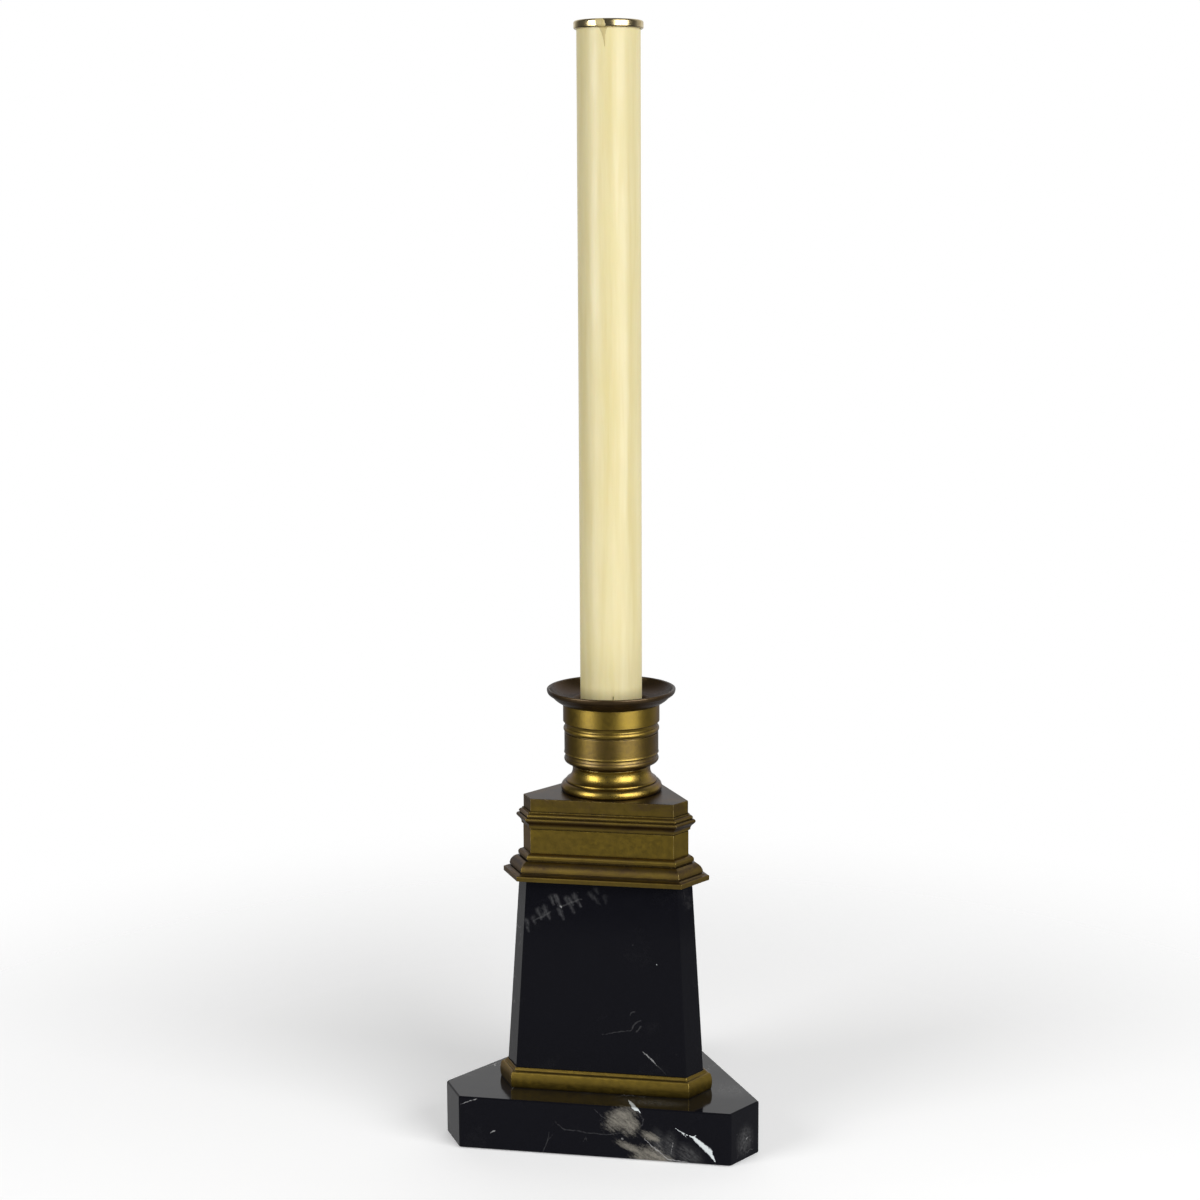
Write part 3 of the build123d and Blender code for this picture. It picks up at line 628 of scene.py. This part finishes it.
def make_cap_metal(name):
    """Polished pale brass, lightly tarnished."""
    s = new_material(name)
    point = s.millimetres()
    haze = s.noise(point, 0.3, 5.0, 0.65)
    colour = s.mix(s.ramp(haze, 0.3, 0.7), (0.72, 0.60, 0.36), (0.46, 0.36, 0.17))
    roughness = s.ramp(haze, 0.35, 0.75, 0.16, 0.28)
    rings = s.noise(point, 1.5, 2.0, stretch=(0.02, 0.02, 4.0))
    s.surface(
        Base_Color=colour,
        Metallic=1.0,
        Roughness=roughness,
        Normal=s.bump(rings, 0.08, 0.1),
    )
    return s.owner


def make_steel(name):
    """Plain zinc-plated steel for what is out of sight."""
    s = new_material(name)
    point = s.millimetres()
    flakes = s.noise(point, 1.2, 4.0, 0.6)
    colour = s.mix(flakes, (0.42, 0.42, 0.43), (0.62, 0.61, 0.58))
    s.surface(
        Base_Color=colour,
        Metallic=1.0,
        Roughness=s.ramp(flakes, 0.3, 0.7, 0.28, 0.45),
        Normal=s.bump(flakes, 0.1, 0.1),
    )
    return s.owner


# ---- Candle ----
def make_ivory(name):
    """The candle tube: yellowed ivory, faintly streaked along its length."""
    s = new_material(name)
    point = s.millimetres()
    streaks = s.noise(point, 0.22, 4.0, 0.6, 0.2, stretch=(1.0, 1.0, 0.05))
    clouds = s.noise(point, 0.06, 5.0, 0.6, 0.3, stretch=(1.0, 1.0, 0.45))
    grime = s.noise(point, 0.5, 5.0, 0.7, stretch=(1.0, 1.0, 0.4))
    colour = s.mix(s.ramp(streaks, 0.3, 0.7), (0.72, 0.62, 0.31), (0.78, 0.69, 0.40))
    colour = s.mix(s.ramp(clouds, 0.45, 0.7, 0.0, 0.5), colour, (0.74, 0.65, 0.32))
    colour = s.mix(s.ramp(grime, 0.62, 0.8, 0.0, 0.3), colour, (0.62, 0.51, 0.25))
    s.surface(
        Base_Color=colour,
        Roughness=s.ramp(clouds, 0.3, 0.7, 0.34, 0.46),
        IOR=1.5,
        Subsurface_Weight=0.12,
        Subsurface_Radius=(2.0 * MM, 1.2 * MM, 0.5 * MM),
        Subsurface_Scale=1.0,
        Normal=s.bump(s.math("MULTIPLY_ADD", grime, 0.3, streaks), 0.1, 0.2),
    )
    return s.owner


def make_wax(name, tint, depth):
    """Candle wax; light goes into it by that much."""
    s = new_material(name)
    point = s.millimetres()
    clouds = s.noise(point, 0.5, 4.0, 0.6)
    colour = s.mix(clouds, tuple(0.78 * c for c in tint), tint)
    s.surface(
        Base_Color=colour,
        Roughness=s.ramp(clouds, 0.3, 0.7, 0.3, 0.5),
        Subsurface_Weight=depth,
        Subsurface_Radius=(2.5 * MM, 1.6 * MM, 0.7 * MM),
        Subsurface_Scale=1.0,
        Normal=s.bump(clouds, 0.25, 0.25),
    )
    return s.owner


def make_wick_cotton(name):
    """Wick: white cotton below, charred at the tip."""
    s = new_material(name)
    point = s.millimetres()
    parts = s.node("ShaderNodeSeparateXYZ", {0: point}).outputs
    charred = s.ramp(parts["Z"], 570.0, 571.0)
    threads = s.noise(point, 2.5, 3.0, stretch=(1.0, 1.0, 0.3), turn=(0.5, 0.0, 0.0))
    colour = s.mix(charred, (0.6, 0.55, 0.42), (0.012, 0.01, 0.009))
    s.surface(Base_Color=colour, Roughness=0.9, Normal=s.bump(threads, 0.6, 0.3))
    return s.owner


def make_felt(name):
    """Dark green felt under the slab."""
    s = new_material(name)
    point = s.millimetres()
    fibres = s.noise(point, 1.8, 6.0, 0.8, 1.5)
    colour = s.mix(fibres, (0.008, 0.02, 0.012), (0.03, 0.06, 0.035))
    s.surface(
        Base_Color=colour,
        Roughness=0.95,
        Sheen_Weight=0.4,
        Sheen_Roughness=0.5,
        Normal=s.bump(fibres, 0.7, 0.6),
    )
    return s.owner


def assign(material, *nodes):
    for node in nodes:
        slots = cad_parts[node].data.materials
        slots.clear()
        slots.append(material)


# ---- Wax run over the cap and the tube's end ----
# Azimuths in degrees from the front, heights and radii in millimetres
RUN_CAP_PROFILE = [
    (16.4, 571.95),
    (16.95, 571.75),
    (17.35, 571.35),
    (17.5, 570.8),
    (17.5, 570.1),
    (17.5, 569.4),
    (17.48, 568.9),
    (17.2, 568.2),
    (16.5, 567.85),
    (16.02, 567.6),
]
RUN_CAP_MIDDLE = (-6.0, 0.5)
RUN_CAP_HALF_WIDTH = (7.6, 8.4)
RUN_TUBE_TOP, RUN_TUBE_END = 567.9, 558.5
RUN_TUBE_RADIUS = 16.0
RUN_TUBE_ROWS = 26
RUN_COLUMNS = 14
RUN_SUNK = 0.12


def add_piece(name, shape, material, body):
    """Turns a bmesh in metres into a smooth piece that rides on a body."""
    bmesh.ops.recalc_face_normals(shape, faces=shape.faces)
    for face in shape.faces:
        face.smooth = True
    mesh = bpy.data.meshes.new(name)
    shape.to_mesh(mesh)
    shape.free()
    mesh.materials.append(material)
    piece = bpy.data.objects.new(name, mesh)
    bpy.context.scene.collection.objects.link(piece)
    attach(piece, body)
    return piece


def make_run(name, spine, thickness, body, material, seed):
    """A lens-shaped film of wax over rings of (radius, z, middle, half width), in the row frame.

    Its underside lies just under the metal or the tube, so its rim meets the surface.
    """
    wobble = random.Random(seed)
    shape = bmesh.new()
    outside, underside = [], []
    for index, (radius, z, middle, half_width) in enumerate(spine):
        share = index / (len(spine) - 1)
        fall = min(1.0, 5.0 * share + 0.15) * min(1.0, 6.0 * (1.0 - share) + 0.1)
        left = middle - half_width * wobble.uniform(0.93, 1.05)
        right = middle + half_width * wobble.uniform(0.93, 1.05)
        over, under = [], []
        for column in range(RUN_COLUMNS + 1):
            along = column / RUN_COLUMNS
            outward = direction(left + (right - left) * along)
            height = Vector((0, 0, z * MM))
            bulge = math.sin(math.pi * along) ** 0.5
            ridge = 1.0 + 0.3 * math.sin(7.0 * along + 4.0 * share) * bulge
            out = radius + thickness * fall * bulge * ridge - 0.04 * (1.0 - bulge)
            over.append(shape.verts.new(outward * out * MM + height))
            under.append(shape.verts.new(outward * (radius - RUN_SUNK) * MM + height))
        outside.append(over)
        underside.append(under)
    for sheet in (outside, underside):
        for upper, lower in zip(sheet, sheet[1:]):
            for a, b, c, d in zip(upper, lower, lower[1:], upper[1:]):
                shape.faces.new([a, b, c, d])
    border = [edge for edge in shape.edges if edge.is_boundary]
    bmesh.ops.bridge_loops(shape, edges=border)
    return add_piece(name, shape, material, body)


def make_wax_runs():
    """The run that came over the cap's edge, and its trail down the tube."""
    wax = make_wax("run_wax", (0.60, 0.49, 0.22), 0.05)
    spine = []
    count = len(RUN_CAP_PROFILE) - 1
    for index, (radius, z) in enumerate(RUN_CAP_PROFILE):
        share = index / count
        middle = RUN_CAP_MIDDLE[0] + (RUN_CAP_MIDDLE[1] - RUN_CAP_MIDDLE[0]) * share
        half = RUN_CAP_HALF_WIDTH[0] + (RUN_CAP_HALF_WIDTH[1] - RUN_CAP_HALF_WIDTH[0]) * share
        spine.append((radius, z, middle, half))
    make_run("wax_run_cap", spine, 0.35, "cap", wax, seed=3)
    spine = []
    for index in range(RUN_TUBE_ROWS + 1):
        share = index / RUN_TUBE_ROWS
        z = RUN_TUBE_TOP + (RUN_TUBE_END - RUN_TUBE_TOP) * share
        middle = 1.0 + 3.0 * share
        half = 7.4 * (1.0 - share) ** 2.0 + 0.5
        spine.append((RUN_TUBE_RADIUS, z, middle, half))
    make_run("wax_run_tube", spine, 0.2, "candle", wax, seed=5)


# ---- Feed spring, in millimetres ----
SPRING_RADIUS, SPRING_WIRE_RADIUS = 10.8, 0.7
SPRING_FOOT, SPRING_HEAD = 215.5, 399.9
SPRING_TURNS = 15
SPRING_STEPS_A_TURN, SPRING_SIDES = 28, 8


def make_feed_spring(material):
    """The coil under the follower, which in the real candle shortens as the refill is pushed down; this
    one is built at one length and rides on the candle.
    """
    shape = bmesh.new()
    steps = SPRING_TURNS * SPRING_STEPS_A_TURN
    low, high = SPRING_FOOT + SPRING_WIRE_RADIUS, SPRING_HEAD - SPRING_WIRE_RADIUS
    previous = None
    for index in range(steps + 1):
        angle = math.tau * index / SPRING_STEPS_A_TURN
        outward = Vector((math.cos(angle), math.sin(angle), 0))
        centre = outward * SPRING_RADIUS + Vector((0, 0, low + (high - low) * index / steps))
        ring = []
        for side in range(SPRING_SIDES):
            turn = math.tau * side / SPRING_SIDES
            rim = outward * math.cos(turn) + Vector((0, 0, math.sin(turn)))
            ring.append(shape.verts.new((centre + rim * SPRING_WIRE_RADIUS) * MM))
        if previous is None:
            shape.faces.new(ring)
        else:
            for side in range(SPRING_SIDES):
                after = (side + 1) % SPRING_SIDES
                shape.faces.new([previous[side], previous[after], ring[after], ring[side]])
        previous = ring
    shape.faces.new(previous[::-1])
    coil = add_piece("feed_spring_coil", shape, material, "candle")
    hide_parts("feed_spring")
    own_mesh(coil)


make_camera()
make_floor()
make_surroundings()
make_softbox("key_light", *KEY_LIGHT)
make_softbox("fill_light", *FILL_LIGHT)
bpy.context.scene.view_settings.view_transform = "Standard"

slab_marble = make_marble(
    "black_marble_slab",
    (-48.0, -25.0),
    math.radians(-35.0),
    SLAB_WHITE_VEINS,
    SLAB_FINE_VEINS,
    SLAB_HAIR_VEINS,
    clouds=SLAB_CLOUDS,
    smoke=SLAB_SMOKE,
)
pedestal_marble = make_marble(
    "black_marble_pedestal",
    (-29.0, -18.0),
    math.radians(-70.0),
    PEDESTAL_WHITE_VEINS,
    PEDESTAL_FINE_VEINS,
    PEDESTAL_HAIR_VEINS,
    strokes=PEDESTAL_STROKES,
)
assign(slab_marble, "marble_slab")
assign(pedestal_marble, "marble_pedestal")
for material_name, nodes, turned, patina, bands, shine in BRASS_PIECES:
    assign(make_brass(material_name, turned, patina, bands, shine), *nodes)
assign(make_cap_metal("cap_metal"), "candle_cap")
steel = make_steel("zinc_steel")
assign(steel, "tie_rod", "base_washer", "lock_washer", "base_nut", "cup_washer", "cup_nut", "follower")
assign(make_ivory("ivory_tube"), "candle_tube", "tube_plug")
assign(make_wax("refill_wax", (0.86, 0.82, 0.66), 0.3), "wax_refill")
assign(make_wick_cotton("wick_cotton"), "wick")
assign(make_felt("green_felt"), "felt_pad")

make_wax_runs()
make_feed_spring(steel)
